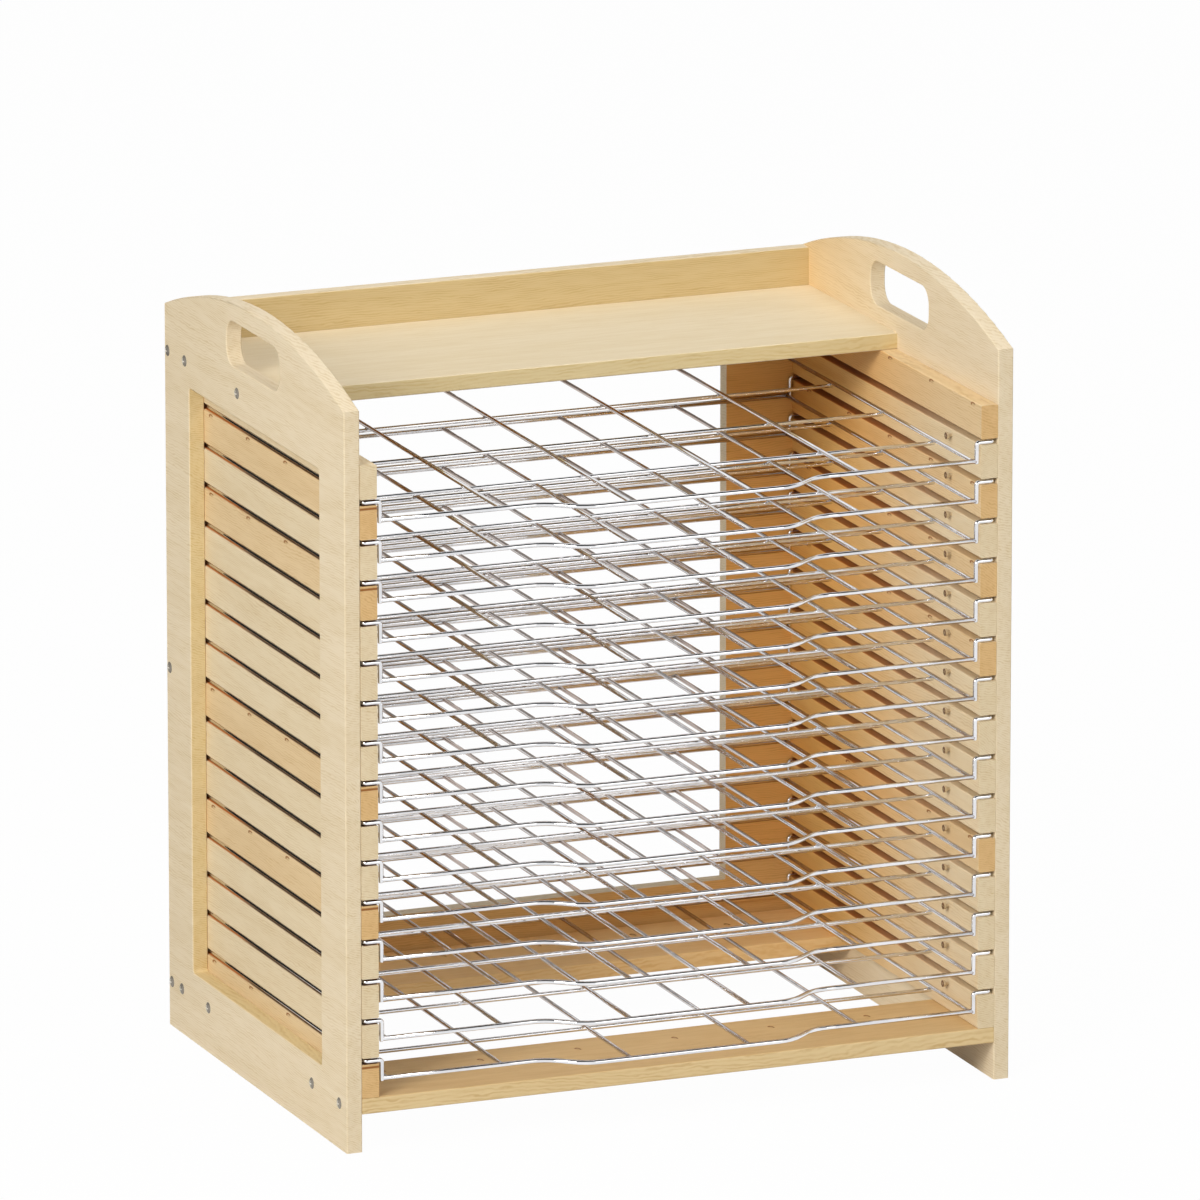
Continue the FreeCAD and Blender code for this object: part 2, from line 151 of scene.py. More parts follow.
class RackWireSettings(bpy.types.PropertyGroup):
    """Sizes and finish of the wire trays."""

    rim_wire: length_property("Rim Wire", "Diameter of a tray's rim wire", 3.5 * MM)
    side_wire: length_property("Side Wire", "Diameter of a tray's side wires", 3.0 * MM)
    cross_wire: length_property("Cross Wire", "Diameter of a tray's cross wires", 3.0 * MM)
    long_wire: length_property("Long Wire", "Diameter of a tray's front to back wires", 3.0 * MM)
    drop: length_property("Tray Drop", "How far the tray hangs below its rails", 13.8 * MM)
    jog: length_property("Rail Jog", "How far the rails stand outside the drops", 12.8 * MM)
    bend: length_property("Corner Bend", "Bend radius of the rim's corners", 2.2 * MM)
    first_cross: length_property("First Cross Wire", "From the case front to the first cross wire", 74.5 * MM)
    cross_pitch: length_property("Cross Wire Spacing", "From one cross wire to the next", 95.2 * MM)
    pull_depth: length_property("Pull Depth", "How far the finger pull stands out", 20 * MM)
    pull_half: length_property("Pull Half Width", "Half the straight length of the finger pull", 80 * MM)
    pull_ramp: length_property("Pull Ramp", "Width of the slope at each end of the pull", 25.6 * MM)
    pull_bend: length_property("Pull Bend", "Bend radius of the finger pull", 30 * MM)
    plating: colour_property("Plating", "Bright plating on the wires", (240, 240, 242))
    plating_shade: colour_property("Plating Shade", "Duller patches of the plating", (218, 219, 222))
    # Painted reflection: the plating edge is a brown outline for the wood that a wire mirrors where it turns
    # away.
    plating_edge_painted_reflection: colour_property("Plating Edge", "The outline of a wire", (142, 106, 78))
    weld: colour_property("Weld", "The small welds under the plating", (150, 148, 146))
    steel: colour_property("Screw Steel", "Plating of the case screws", (132, 127, 118))
    steel_worn: colour_property("Worn Steel", "Case screws where the plating is rubbed", (158, 152, 142))
    # Painted shade and highlight: a case screw's rim is painted darker and its recess bright.
    steel_shade: colour_property("Screw Rim", "The shaded rim of a case screw", (98, 92, 82))
    steel_recess_painted_highlight: colour_property("Screw Recess", "The bright floor of its recess", (240, 236, 228))
    # Painted highlight and shade: a stop screw's dome is plating painted near white, and its recess is
    # painted dark brown.
    stop_plating_and_highlight: colour_property("Stop Screw Steel", "Plating of the tray stop screws", (250, 248, 242))
    stop_shade: colour_property("Stop Screw Rim", "The rim of a tray stop screw", (206, 186, 152))
    stop_recess_painted_shade: colour_property("Stop Screw Recess", "The dark recess of a tray stop screw", (112, 74, 34))


class RackStageSettings(bpy.types.PropertyGroup):
    """Floor, light and camera."""

    floor_size: length_property("Floor Size", "Side of the square floor", 40.0)
    floor_shade: colour_property("Floor", "Colour of the floor", (220, 219, 216))
    sky_light: share_property("Sky Light", "Strength of the even light from all sides", 0.27, 4.0)
    key_power: bpy.props.FloatProperty(name="Key Light", description="Power of the large lamp at the left",
                                       default=308, min=0, unit="POWER")
    front_power: bpy.props.FloatProperty(name="Front Light", description="Power of the lamp at the front",
                                         default=20, min=0, unit="POWER")
    top_power: bpy.props.FloatProperty(name="Top Light", description="Power of the lamp overhead",
                                       default=48, min=0, unit="POWER")
    # Painted reflection: the cards are seen only in the metal's reflections.
    rear_card: share_property("Rear Card", "Brightness of the card behind that only metal mirrors", 0.3)
    ceiling_card: share_property("Ceiling Card", "Brightness of the card overhead that only metal mirrors",
                                 0.02)
    side_card: share_property("Side Card", "Brightness of the card at the left rear that only metal "
                              "mirrors", 0.03)
    lens: bpy.props.FloatProperty(name="Lens", description="Focal length on a 36 mm sensor, in millimetres",
                                  default=446.49, min=1)
    camera_place: bpy.props.FloatVectorProperty(name="Camera Place", description="Where the camera stands",
                                                default=(-3.9395, -9.7348, 3.0552), subtype="XYZ",
                                                unit="LENGTH")
    camera_aim: bpy.props.FloatVectorProperty(name="Camera Aim", description="The point that it looks at",
                                              default=(0.0126, 0.0145, 0.3398), subtype="XYZ",
                                              unit="LENGTH")


# Shader building

def put(tree, kind, feeds=None, **settings):
    """Adds a node to a shader tree. feeds maps its inputs to values or to other nodes' outputs."""
    node = tree.nodes.new(kind)
    for name, value in settings.items():
        setattr(node, name, value)
    for key, value in (feeds or {}).items():
        if isinstance(value, bpy.types.NodeSocket):
            tree.links.new(value, node.inputs[key])
        else:
            node.inputs[key].default_value = value
    return node


def product(tree, *factors):
    """The product of several values."""
    total = factors[0]
    for factor in factors[1:]:
        total = calc(tree, "MULTIPLY", total, factor)
    return total


def rest_of(tree, share):
    """1 less a share."""
    return calc(tree, "SUBTRACT", 1.0, share)


def calc(tree, operation, *values):
    """The output of one Math node."""
    return put(tree, "ShaderNodeMath", dict(enumerate(values)), operation=operation).outputs[0]


def blend_colours(tree, share, first, second):
    """The colour between first and second at a share from 0 to 1."""
    return put(tree, "ShaderNodeMix", {0: share, 6: first, 7: second}, data_type="RGBA").outputs[2]


def stretched(tree, vector, *scales):
    """A vector with each of its axes scaled."""
    return put(tree, "ShaderNodeVectorMath", {0: vector, 1: scales}, operation="MULTIPLY").outputs[0]


def cloud(tree, vector, detail):
    """Soft noise of 0 to 1 at scale 1 of the vector."""
    return put(tree, "ShaderNodeTexNoise", {"Vector": vector, "Scale": 1.0, "Detail": detail}).outputs[0]


def ramp_share(tree, value, low, high):
    """0 below low, 1 above high, and smooth between them."""
    feeds = {"Value": value, "From Min": low, "From Max": high}
    return put(tree, "ShaderNodeMapRange", feeds, interpolation_type="SMOOTHSTEP").outputs[0]


def between_share(tree, value, low, high):
    """1 between low and high, and 0 outside them."""
    return product(tree, calc(tree, "GREATER_THAN", value, low), calc(tree, "LESS_THAN", value, high))


def new_group(name, inputs, outputs):
    """An empty shader node group with named sockets. Returns the group, the outputs of its input node and
    a function that joins a value to one of the group's own outputs."""
    group = bpy.data.node_groups.new(name, "ShaderNodeTree")
    for label, kind, default in inputs:
        socket = group.interface.new_socket(label, in_out="INPUT", socket_type=kind)
        if default is not None:
            socket.default_value = default
    for label, kind in outputs:
        group.interface.new_socket(label, in_out="OUTPUT", socket_type=kind)
    source = group.nodes.new("NodeGroupInput").outputs
    sink = group.nodes.new("NodeGroupOutput").inputs

    def give(label, value):
        group.links.new(value, sink[label])

    return group, source, give


def place_group(tree, group, feeds):
    """The outputs of a shader group that is placed with its own values."""
    return put(tree, "ShaderNodeGroup", feeds, node_tree=group).outputs


def pine_grain_group():
    """Pine seen on any face of a board. The vector's X runs along the grain and its growth lines stack in
    Y. The line pattern is a raised cosine of (Y + a third of Z + a slow wander) over the line spacing."""
    colour = (0.8, 0.7, 0.5, 1.0)
    group, source, give = new_group(
        "pine_grain",
        [("Vector", "NodeSocketVector", None), ("Pale", "NodeSocketColor", colour),
         ("Line", "NodeSocketColor", colour), ("Line Spacing", "NodeSocketFloat", 1.7 * MM),
         ("Line Strength", "NodeSocketFloat", 0.5), ("Figure Strength", "NodeSocketFloat", 0.4),
         ("Wander", "NodeSocketFloat", 0.02), ("Board", "NodeSocketFloat", 0.0)],
        [("Color", "NodeSocketColor"), ("Roughness", "NodeSocketFloat"), ("Height", "NodeSocketFloat")])
    shift = put(group, "ShaderNodeCombineXYZ", {0: calc(group, "MULTIPLY", source["Board"], 0.613),
                                                1: calc(group, "MULTIPLY", source["Board"], 0.271),
                                                2: calc(group, "MULTIPLY", source["Board"], 0.147)})
    place = put(group, "ShaderNodeVectorMath", {0: source["Vector"], 1: shift.outputs[0]}).outputs[0]
    parts = put(group, "ShaderNodeSeparateXYZ", {0: place}).outputs
    slow = calc(group, "SUBTRACT", cloud(group, stretched(group, place, 2.6, 13, 13), 1.0), 0.5)
    middle = calc(group, "SUBTRACT", cloud(group, stretched(group, place, 11, 48, 48), 1.0), 0.5)
    quick = calc(group, "SUBTRACT", cloud(group, stretched(group, place, 110, 260, 260), 1.0), 0.5)
    ring = calc(group, "MULTIPLY_ADD", parts["Z"], 0.33, parts["Y"])
    ring = calc(group, "MULTIPLY_ADD", slow, source["Wander"], ring)
    ring = calc(group, "MULTIPLY_ADD", middle, 0.005, ring)
    ring = calc(group, "MULTIPLY_ADD", quick, 0.0024, ring)
    turns = calc(group, "MULTIPLY", calc(group, "DIVIDE", ring, source["Line Spacing"]), 2 * math.pi)
    wave = calc(group, "MULTIPLY_ADD", calc(group, "COSINE", turns), 0.5, 0.5)
    late = calc(group, "POWER", wave, 1.6)
    weight = ramp_share(group, cloud(group, stretched(group, place, 34, 260, 260), 2.0), 0.3, 0.72)
    late = calc(group, "MULTIPLY", late, calc(group, "MULTIPLY_ADD", weight, 0.85, 0.15))
    figure = ramp_share(group, cloud(group, stretched(group, place, 3.2, 62, 62), 2.0), 0.32, 0.7)
    fibre = cloud(group, stretched(group, place, 55, 1500, 1500), 2.0)
    dark = calc(group, "MULTIPLY_ADD", calc(group, "MULTIPLY", figure, source["Figure Strength"]), 0.6,
                calc(group, "MULTIPLY", late, source["Line Strength"]))
    dark = calc(group, "MULTIPLY_ADD", calc(group, "SUBTRACT", fibre, 0.5), 0.35, dark)
    share = put(group, "ShaderNodeClamp", {"Value": dark}).outputs[0]
    give("Color", blend_colours(group, share, source["Pale"], source["Line"]))
    give("Roughness", calc(group, "MULTIPLY_ADD", share, -0.12, 0.56))
    give("Height", calc(group, "MULTIPLY_ADD", late, -0.6, fibre))
    return group


def pin_knot_group():
    """Small knots in a row along a board: an open arc over a dot, at every Period from Start and at Level
    across the board. Along and Across are places on the board in metres, and Squeeze and Flatten say how
    much shorter than round the knot is measured in each."""
    group, source, give = new_group(
        "pin_knots",
        [("Along", "NodeSocketFloat", 0.0), ("Across", "NodeSocketFloat", 0.0),
         ("Period", "NodeSocketFloat", 76 * MM), ("Start", "NodeSocketFloat", 0.0),
         ("Level", "NodeSocketFloat", 0.0), ("Radius", "NodeSocketFloat", 1.7 * MM),
         ("Squeeze", "NodeSocketFloat", 0.8), ("Flatten", "NodeSocketFloat", 1.0)],
        [("Mask", "NodeSocketFloat")])
    turns = calc(group, "DIVIDE", calc(group, "SUBTRACT", source["Along"], source["Start"]), source["Period"])
    from_middle = calc(group, "SUBTRACT", calc(group, "FRACT", calc(group, "ADD", turns, 0.5)), 0.5)
    sideways = product(group, from_middle, source["Period"], source["Squeeze"])
    upwards = product(group, calc(group, "SUBTRACT", source["Across"], source["Level"]), source["Flatten"])
    squares = calc(group, "ADD", calc(group, "POWER", calc(group, "ABSOLUTE", sideways), 2.0),
                   calc(group, "POWER", calc(group, "ABSOLUTE", upwards), 2.0))
    reach = calc(group, "DIVIDE", calc(group, "SQRT", squares), source["Radius"])
    from_ring = calc(group, "ABSOLUTE", calc(group, "SUBTRACT", reach, 0.8))
    ring = rest_of(group, ramp_share(group, from_ring, 0.1, 0.45))
    arc = ramp_share(group, calc(group, "MULTIPLY_ADD", sideways, 0.6, upwards), -0.6 * MM, 0.5 * MM)
    dot = rest_of(group, ramp_share(group, reach, 0.0, 1.1))
    give("Mask", calc(group, "MAXIMUM", product(group, ring, arc), product(group, dot, 0.3)))
    return group


def rubbed_plating_group():
    """Plated metal with faint drawing marks and duller clouds, as a share from 0 to 1 and a roughness."""
    group, source, give = new_group(
        "rubbed_plating",
        [("Vector", "NodeSocketVector", None), ("Cloud Size", "NodeSocketFloat", 0.02),
         ("Roughness", "NodeSocketFloat", 0.2), ("Spread", "NodeSocketFloat", 0.1)],
        [("Share", "NodeSocketFloat"), ("Roughness", "NodeSocketFloat"), ("Height", "NodeSocketFloat")])
    scaled = put(group, "ShaderNodeVectorMath", {0: source["Vector"], 3: calc(
        group, "DIVIDE", 1.0, source["Cloud Size"])}, operation="SCALE").outputs[0]
    patches = ramp_share(group, cloud(group, scaled, 3.0), 0.35, 0.7)
    fine = cloud(group, stretched(group, scaled, 11, 11, 11), 2.0)
    give("Share", calc(group, "MULTIPLY_ADD", fine, 0.3, calc(group, "MULTIPLY", patches, 0.7)))
    give("Roughness", calc(group, "MULTIPLY_ADD", patches, source["Spread"], source["Roughness"]))
    give("Height", fine)
    return group


def shared_group(name, build):
    """A shader group that is built once and used by every material that needs it."""
    return bpy.data.node_groups.get(name) or build()


def new_material(name):
    """A material with an empty tree. Returns it with its tree, its Object coordinates and its normal."""
    material = bpy.data.materials.new(name)
    material.use_nodes = True
    tree = material.node_tree
    tree.nodes.clear()
    coordinates = tree.nodes.new("ShaderNodeTexCoord").outputs
    return material, tree, coordinates["Object"], coordinates["Normal"]


def finish_material(tree, shader):
    """Joins a material's shader to its output."""
    output = tree.nodes.new("ShaderNodeOutputMaterial")
    tree.links.new(shader, output.inputs["Surface"])


def opaque(colour):
    """A colour with full alpha."""
    return (*colour, 1.0)


def toned(tree, colour, tone, share):
    """A colour multiplied by a tone, as far as share says."""
    return put(tree, "ShaderNodeMix", {0: share, 6: colour, 7: opaque(tone)}, data_type="RGBA",
               blend_type="MULTIPLY").outputs[2]


def inward_share(tree, facing, place, inward):
    """1 on the faces that look into the case. inward names the axis that such a face looks along, with -
    before it where it looks to the lower end of that axis, or with * where it looks to the middle."""
    direction, axis = inward
    look = facing[axis]
    if direction == "*":
        look = product(tree, look, calc(tree, "SIGN", place[axis]))
    return ramp_share(tree, product(tree, look, -1.0), *SQUARE_ON)


def slot_painted_light(tree, colour, parts, facing):
    """A slat's colour with painted shade and light on the faces that look into a slot. A right slot's painted
    shade deepens to the back.
    A left slot is left pale along its mouth, painted dark inside it and painted orange, as if lit, at its
    rear end."""
    wood = bpy.context.scene.rack_wood
    # The top of the highest slat and the underside of the lowest one look into no slot.
    low, high = SLAT_STACK
    above = ramp_share(tree, parts["Z"], low + MM, low + 4 * MM)
    below = ramp_share(tree, product(tree, parts["Z"], -1.0), MM - high, 4 * MM - high)
    level_face = ramp_share(tree, calc(tree, "ABSOLUTE", facing["Z"]), *SQUARE_ON)
    in_slot = product(tree, level_face, above, below)
    left = calc(tree, "LESS_THAN", parts["X"], 0.0)
    to_back = ramp_share(tree, parts["Y"], *RIGHT_SLOT_DEPTHS)
    colour = toned(tree, colour, wood.slot_painted_shade, product(tree, in_slot, to_back, rest_of(tree, left)))
    depth = calc(tree, "SUBTRACT", parts["X"], LOWEST_SLAT[0].x)
    inside = product(tree, in_slot, ramp_share(tree, depth, *LEFT_SLOT_MOUTH), left)
    rear = ramp_share(tree, parts["Y"], *LEFT_SLOT_REAR)
    colour = toned(tree, colour, wood.slot_rear_painted_light, product(tree, inside, rear))
    return toned(tree, colour, wood.left_slot_painted_shade, product(tree, inside, rest_of(tree, rear)))


def pine_material(name, pale, line, axes, inward, board=0.0, knots=(), squeeze=(0.8, 0.45), numbered=False,
                  cuts=None, sides=None, painted_shade_zones=()):
    """Waxed pine. axes names the part's axes that run along the grain, across the growth lines and
    through the board, and inward is as for inward_share; the faces that look inward get painted shade,
    more of it towards the back. board moves the part through the pattern, and numbered does so for each
    slat and gives its slot faces painted shade and light. knots holds the start and level of each row of
    pin knots, and squeeze their two measures. cuts names the axis through the board and the low and high Y
    and Z between which its cut edges have a deeper tone. sides names an axis and the tone of the faces that
    look along it. zones holds the low and high Z and the painted shade of parts of the inner face."""
    wood = bpy.context.scene.rack_wood
    material, tree, place, normal = new_material(name)
    parts = put(tree, "ShaderNodeSeparateXYZ", {0: place}).outputs
    turned = put(tree, "ShaderNodeCombineXYZ", {number: parts[axis] for number, axis in enumerate(axes)})
    level = parts[axes[1]]
    if numbered:
        # Each slat is another piece of timber: its number and its side move it through the pattern.
        storey = calc(tree, "DIVIDE", calc(tree, "SUBTRACT", parts["Z"], LOWEST_SLAT[0].z), SLAT_PITCH)
        side = product(tree, calc(tree, "SIGN", parts["X"]), SIDE_PATTERN_STEP)
        board = calc(tree, "MULTIPLY_ADD", calc(tree, "FLOOR", storey), SLAT_PATTERN_STEP, side)
        level = product(tree, calc(tree, "FRACT", storey), SLAT_PITCH)
    grain = place_group(tree, shared_group("pine_grain", pine_grain_group), {
        "Vector": turned.outputs[0], "Pale": opaque(pale), "Line": opaque(line), "Board": board,
        "Line Spacing": wood.line_spacing, "Line Strength": wood.line_strength,
        "Figure Strength": wood.figure_strength, "Wander": wood.wander})
    colour = grain["Color"]
    for start, knot_level in knots:
        knot = place_group(tree, shared_group("pin_knots", pin_knot_group), {
            "Along": parts[axes[0]], "Across": level, "Period": wood.knot_period, "Start": start,
            "Level": knot_level, "Squeeze": squeeze[0], "Flatten": squeeze[1]})
        colour = blend_colours(tree, knot["Mask"], colour, opaque(wood.knot))
    facing = put(tree, "ShaderNodeSeparateXYZ", {0: normal}).outputs
    # Painted shade: faces that look into the case get a darker, warmer tone, more of it towards the back.
    inner = inward_share(tree, facing, parts, inward)
    inner_painted_shade = wood.slat_inner_painted_shade if numbered else wood.inner_painted_shade
    deep = ramp_share(tree, parts["Y"], *(SLAT_DEPTHS if numbered else CASE_DEPTHS))
    colour = toned(tree, colour, inner_painted_shade, product(tree, inner, deep))
    if numbered:
        colour = slot_painted_light(tree, colour, parts, facing)
    # Painted shade: each band of Z on the inner face gets its own darker tone.
    for low, high, tone in painted_shade_zones:
        between = between_share(tree, parts["Z"], low, high)
        colour = toned(tree, colour, tone, product(tree, inner, between))
    if sides:
        axis, side_tone = sides
        square = ramp_share(tree, calc(tree, "ABSOLUTE", facing[axis]), *SQUARE_ON)
        colour = toned(tree, colour, side_tone, square)
    if cuts:
        through, low_y, high_y, low_z, high_z = cuts
        square = ramp_share(tree, calc(tree, "ABSOLUTE", facing[through]), 0.3, 0.6)
        edge = product(tree, rest_of(tree, square), between_share(tree, parts["Y"], low_y, high_y),
                       between_share(tree, parts["Z"], low_z, high_z))
        colour = toned(tree, colour, wood.cut_tone, edge)
    bump = put(tree, "ShaderNodeBump", {"Height": grain["Height"], "Strength": 0.12, "Distance": 0.2 * MM})
    shader = put(tree, "ShaderNodeBsdfPrincipled", {
        "Base Color": colour, "Roughness": grain["Roughness"], "Normal": bump.outputs[0],
        "Specular IOR Level": 0.2})
    finish_material(tree, shader.outputs[0])
    return material


def metal_material(name, bright, dull, roughness, spread, cloud_size, heads=None, edge=None, metallic=1.0):
    """Plated steel with duller clouds and fine marks. heads holds the painted light of a screw: the colours
    of its shaded rim, of its recess floor and of its recess sides, which are told from the dome by how
    squarely they face along X; the recess is painted bright on the case screws and dark on the stop screws.
    edge is the colour of a painted dark reflection along a wire's outline, where its surface turns away from
    the camera."""
    material, tree, place, normal = new_material(name)
    plating = place_group(tree, shared_group("rubbed_plating", rubbed_plating_group), {
        "Vector": place, "Cloud Size": cloud_size, "Roughness": roughness, "Spread": spread})
    bump = put(tree, "ShaderNodeBump", {"Height": plating["Height"], "Strength": 0.05,
                                        "Distance": 0.05 * MM})
    colour = blend_colours(tree, plating["Share"], opaque(bright), opaque(dull))
    # Painted shade and light: the edge of the dome takes the rim colour, and the recess floor and sides take
    # theirs.
    if heads:
        rim, recess_floor_painted_light, recess_side_painted_light = heads
        square = calc(tree, "ABSOLUTE", put(tree, "ShaderNodeSeparateXYZ", {0: normal}).outputs[0])
        colour = blend_colours(tree, ramp_share(tree, square, 0.76, 0.86), opaque(rim), colour)
        floor = ramp_share(tree, square, 0.992, 0.998)
        side = rest_of(tree, ramp_share(tree, square, 0.3, 0.6))
        colour = blend_colours(tree, floor, colour, opaque(recess_floor_painted_light))
        colour = blend_colours(tree, side, colour, opaque(recess_side_painted_light))
    # Painted reflection: a brown outline where the wire turns away from the camera.
    if edge:
        turned = tree.nodes.new("ShaderNodeLayerWeight").outputs["Facing"]
        colour = blend_colours(tree, ramp_share(tree, turned, 0.55, 0.85), colour, opaque(edge))
    shader = put(tree, "ShaderNodeBsdfPrincipled", {
        "Base Color": colour, "Roughness": plating["Roughness"], "Normal": bump.outputs[0],
        "Metallic": metallic})
    finish_material(tree, shader.outputs[0])
    return material


def dress_node(name, material):
    """Gives a carried-over node its material, and leaves its mesh alone."""
    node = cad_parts[name]
    if not node.material_slots:
        node.data.materials.append(None)
    for slot in node.material_slots:
        slot.link = "OBJECT"
        slot.material = material


# Wire surfaces

def bent_path(points, radii, steps):
    """Points along a path of straight runs joined by tangent arcs. Each arc is cut into equal turns
    from its centre: centre + R (cos, sin) in the plane of its two runs. Ends are kept."""
    points = np.asarray(points, float)
    pieces = [points[:1]]
    for before, corner, after, radius in zip(points, points[1:], points[2:], radii):
        back = (before - corner) / np.linalg.norm(before - corner)
        on = (after - corner) / np.linalg.norm(after - corner)
        half = math.acos(np.clip(np.dot(back, on), -1, 1)) / 2
        inward = (back + on) / np.linalg.norm(back + on)
        centre = corner + inward * radius / math.sin(half)
        sweep = math.pi / 2 - half
        count = max(2, math.ceil(steps * 2 * sweep / (math.pi / 2)))
        turn = np.linspace(-sweep, sweep, count + 1)[:, None]
        across = on - back
        across /= np.linalg.norm(across)
        pieces.append(centre + radius * (across * np.sin(turn) - inward * np.cos(turn)))
    pieces.append(points[-1:])
    return np.vstack(pieces)


def wire_surface(path, radii, sides):
    """A round wire: circles of the given radii carried along the path, each square to the path's mean
    direction there, and turned from the cross product of that direction with (1, 1, 1)."""
    path = np.asarray(path, float)
    step = np.diff(path, axis=0)
    ahead = np.vstack((step, step[-1:]))
    behind = np.vstack((step[:1], step))
    along = (ahead / np.linalg.norm(ahead, axis=1, keepdims=True)
             + behind / np.linalg.norm(behind, axis=1, keepdims=True))
    along /= np.linalg.norm(along, axis=1, keepdims=True)
    first = np.cross(along, (1.0, 1.0, 1.0))
    first /= np.linalg.norm(first, axis=1, keepdims=True)
    second = np.cross(along, first)
    turn = np.linspace(0, 2 * math.pi, sides, endpoint=False)
    ring = np.cos(turn)[None, :, None] * first[:, None] + np.sin(turn)[None, :, None] * second[:, None]
    vertices = path[:, None] + np.broadcast_to(radii, len(path))[:, None, None] * ring
    row = np.arange(len(path) - 1)[:, None] * sides
    column = np.arange(sides)[None]
    next_column = (column + 1) % sides
    quads = np.stack(np.broadcast_arrays(row + column, row + next_column, row + sides + next_column,
                                         row + sides + column), axis=-1)
    faces = quads.reshape(-1, 4).tolist()
    faces.append(list(range(sides - 1, -1, -1)))
    faces.append(list(range((len(path) - 1) * sides, len(path) * sides)))
    return vertices.reshape(-1, 3), faces


def soft_ended(path, radius):
    """A path with two more points near each end, for a wire whose cut ends are softened."""
    shares = np.array((0.12, 0.34))[:, None] * radius
    first = (path[1] - path[0]) / np.linalg.norm(path[1] - path[0])
    last = (path[-2] - path[-1]) / np.linalg.norm(path[-2] - path[-1])
    return np.vstack((path[:1], path[0] + first * shares, path[1:-1],
                      (path[-1] + last * shares)[::-1], path[-1:]))


def end_radii(count, radius):
    """The radii along a soft-ended path: they fall by an eighth and then a third at each end."""
    radii = np.full(count, radius)
    radii[[0, 1, -2, -1]] *= (0.66, 0.88, 0.88, 0.66)
    return radii


def cut_wire(start, end, radius, sides):
    """A straight wire with softened ends."""
    path = soft_ended(np.array((start, end), float), radius)
    return wire_surface(path, end_radii(len(path), radius), sides)


def weld_bead(centre, along, length, radius):
    """A small weld where two wires cross: a swollen sleeve whose radius follows half a sine."""
    stations = np.array((-0.5, -0.25, 0.25, 0.5)) * length
    path = np.asarray(centre, float) + np.asarray(along, float) * stations[:, None]
    return wire_surface(path, radius * np.array((0.45, 0.92, 0.92, 0.45)), 7)


def join_surfaces(surfaces):
    """One list of vertices and faces from several surfaces."""
    starts = np.cumsum([0] + [len(vertices) for vertices, _ in surfaces])
    vertices = np.vstack([vertices for vertices, _ in surfaces])
    faces = [[int(start) + corner for corner in face]
             for start, (_, group) in zip(starts, surfaces) for face in group]
    return vertices, faces


def tray_surfaces(wires):
    """One tray with its rails at height 0: its wires, and apart from them its welds."""
    rim = wires.rim_wire / 2
    rail = RAIL_HIGH.x - rim
    drop = rail - wires.jog
    front = CASE_FRONT + rim
    back = RAIL_HIGH.y - rim
    low = -wires.drop
    ramp = wires.pull_half + wires.pull_ramp
    # A bar of the rim ends inside its drop, and the drop's end stands just below the bar.
    bar_end = drop - rim / 3
    foot = low - rim * 1.15
    pieces = []
    welds = []
    for side in (-1, 1):
        frame_points = [(side * drop, front, foot), (side * drop, front, 0), (side * rail, front, 0),
                        (side * rail, back, 0), (side * drop, back, 0), (side * drop, back, foot)]
        path = soft_ended(bent_path(frame_points, [wires.bend] * 4, 8), rim)
        pieces.append(wire_surface(path, end_radii(len(path), rim), 14))
    half = [(-bar_end, front, low), (-ramp, front, low), (-wires.pull_half, front - wires.pull_depth, low)]
    path = bent_path(half + [(-x, y, z) for x, y, z in reversed(half)], [wires.pull_bend] * 4, 8)
    pieces.append(wire_surface(path, rim, 14))
    pieces.append(wire_surface([(-bar_end, back, low), (bar_end, back, low)], rim, 14))
    side_x = drop - rim - wires.side_wire / 2
    side_z = rim - wires.side_wire / 2 + low
    cross_z = side_z - (wires.side_wire + wires.cross_wire) / 2
    touch_z = cross_z + wires.cross_wire / 2
    long_z = cross_z + (wires.cross_wire + wires.long_wire) / 2
    for side in (-1, 1):
        pieces.append(cut_wire((side * side_x, front + rim, side_z), (side * side_x, back - rim, side_z),
                               wires.side_wire / 2, 12))
        for end in (front + rim, back - rim):
            welds.append(weld_bead((side * side_x, end, side_z), (0, 1, 0), 3.4 * MM,
                                   wires.side_wire * 0.54))
    spacing = 2 * drop / TRAY_COLUMNS
    columns = [-drop + column * spacing for column in range(1, TRAY_COLUMNS)]
    for row in range(TRAY_ROWS):
        depth = CASE_FRONT + wires.first_cross + row * wires.cross_pitch
        reach = side_x + wires.side_wire / 2
        pieces.append(cut_wire((-reach, depth, cross_z), (reach, depth, cross_z), wires.cross_wire / 2, 10))
        for side in (-1, 1):
            welds.append(weld_bead((side * side_x, depth, touch_z), (0, 1, 0), 3.6 * MM, 1.1 * MM))
        for x in columns:
            welds.append(weld_bead((x, depth, touch_z), (1, 0, 0), 3.4 * MM, 1.0 * MM))
    for x in columns:
        bar = front - wires.pull_depth if abs(x) < wires.pull_half else front
        pieces.append(cut_wire((x, bar + rim, long_z), (x, back - rim, long_z), wires.long_wire / 2, 10))
        for end in (bar + rim, back - rim):
            welds.append(weld_bead((x, end, long_z), (0, 1, 0), 3.0 * MM, wires.long_wire * 0.54))
    return join_surfaces(pieces), join_surfaces(welds)


def new_piece(name, vertices, faces, materials, material_numbers):
    """A mesh object at the origin from worked-out vertices and faces, with smooth sides."""
    mesh = bpy.data.meshes.new(name)
    mesh.from_pydata(vertices.tolist(), [], faces)
    for material in materials:
        mesh.materials.append(material)
    mesh.polygons.foreach_set("material_index", material_numbers)
    sharp = np.array([len(face) > 4 for face in faces])
    mesh.polygons.foreach_set("use_smooth", ~sharp)
    mesh.update()
    if mesh.validate():
        raise RuntimeError(f"the mesh of {name} was not sound")
    piece = bpy.data.objects.new(name, mesh)
    bpy.context.scene.collection.objects.link(piece)
    return piece


# Operators, one for each piece or group of like pieces

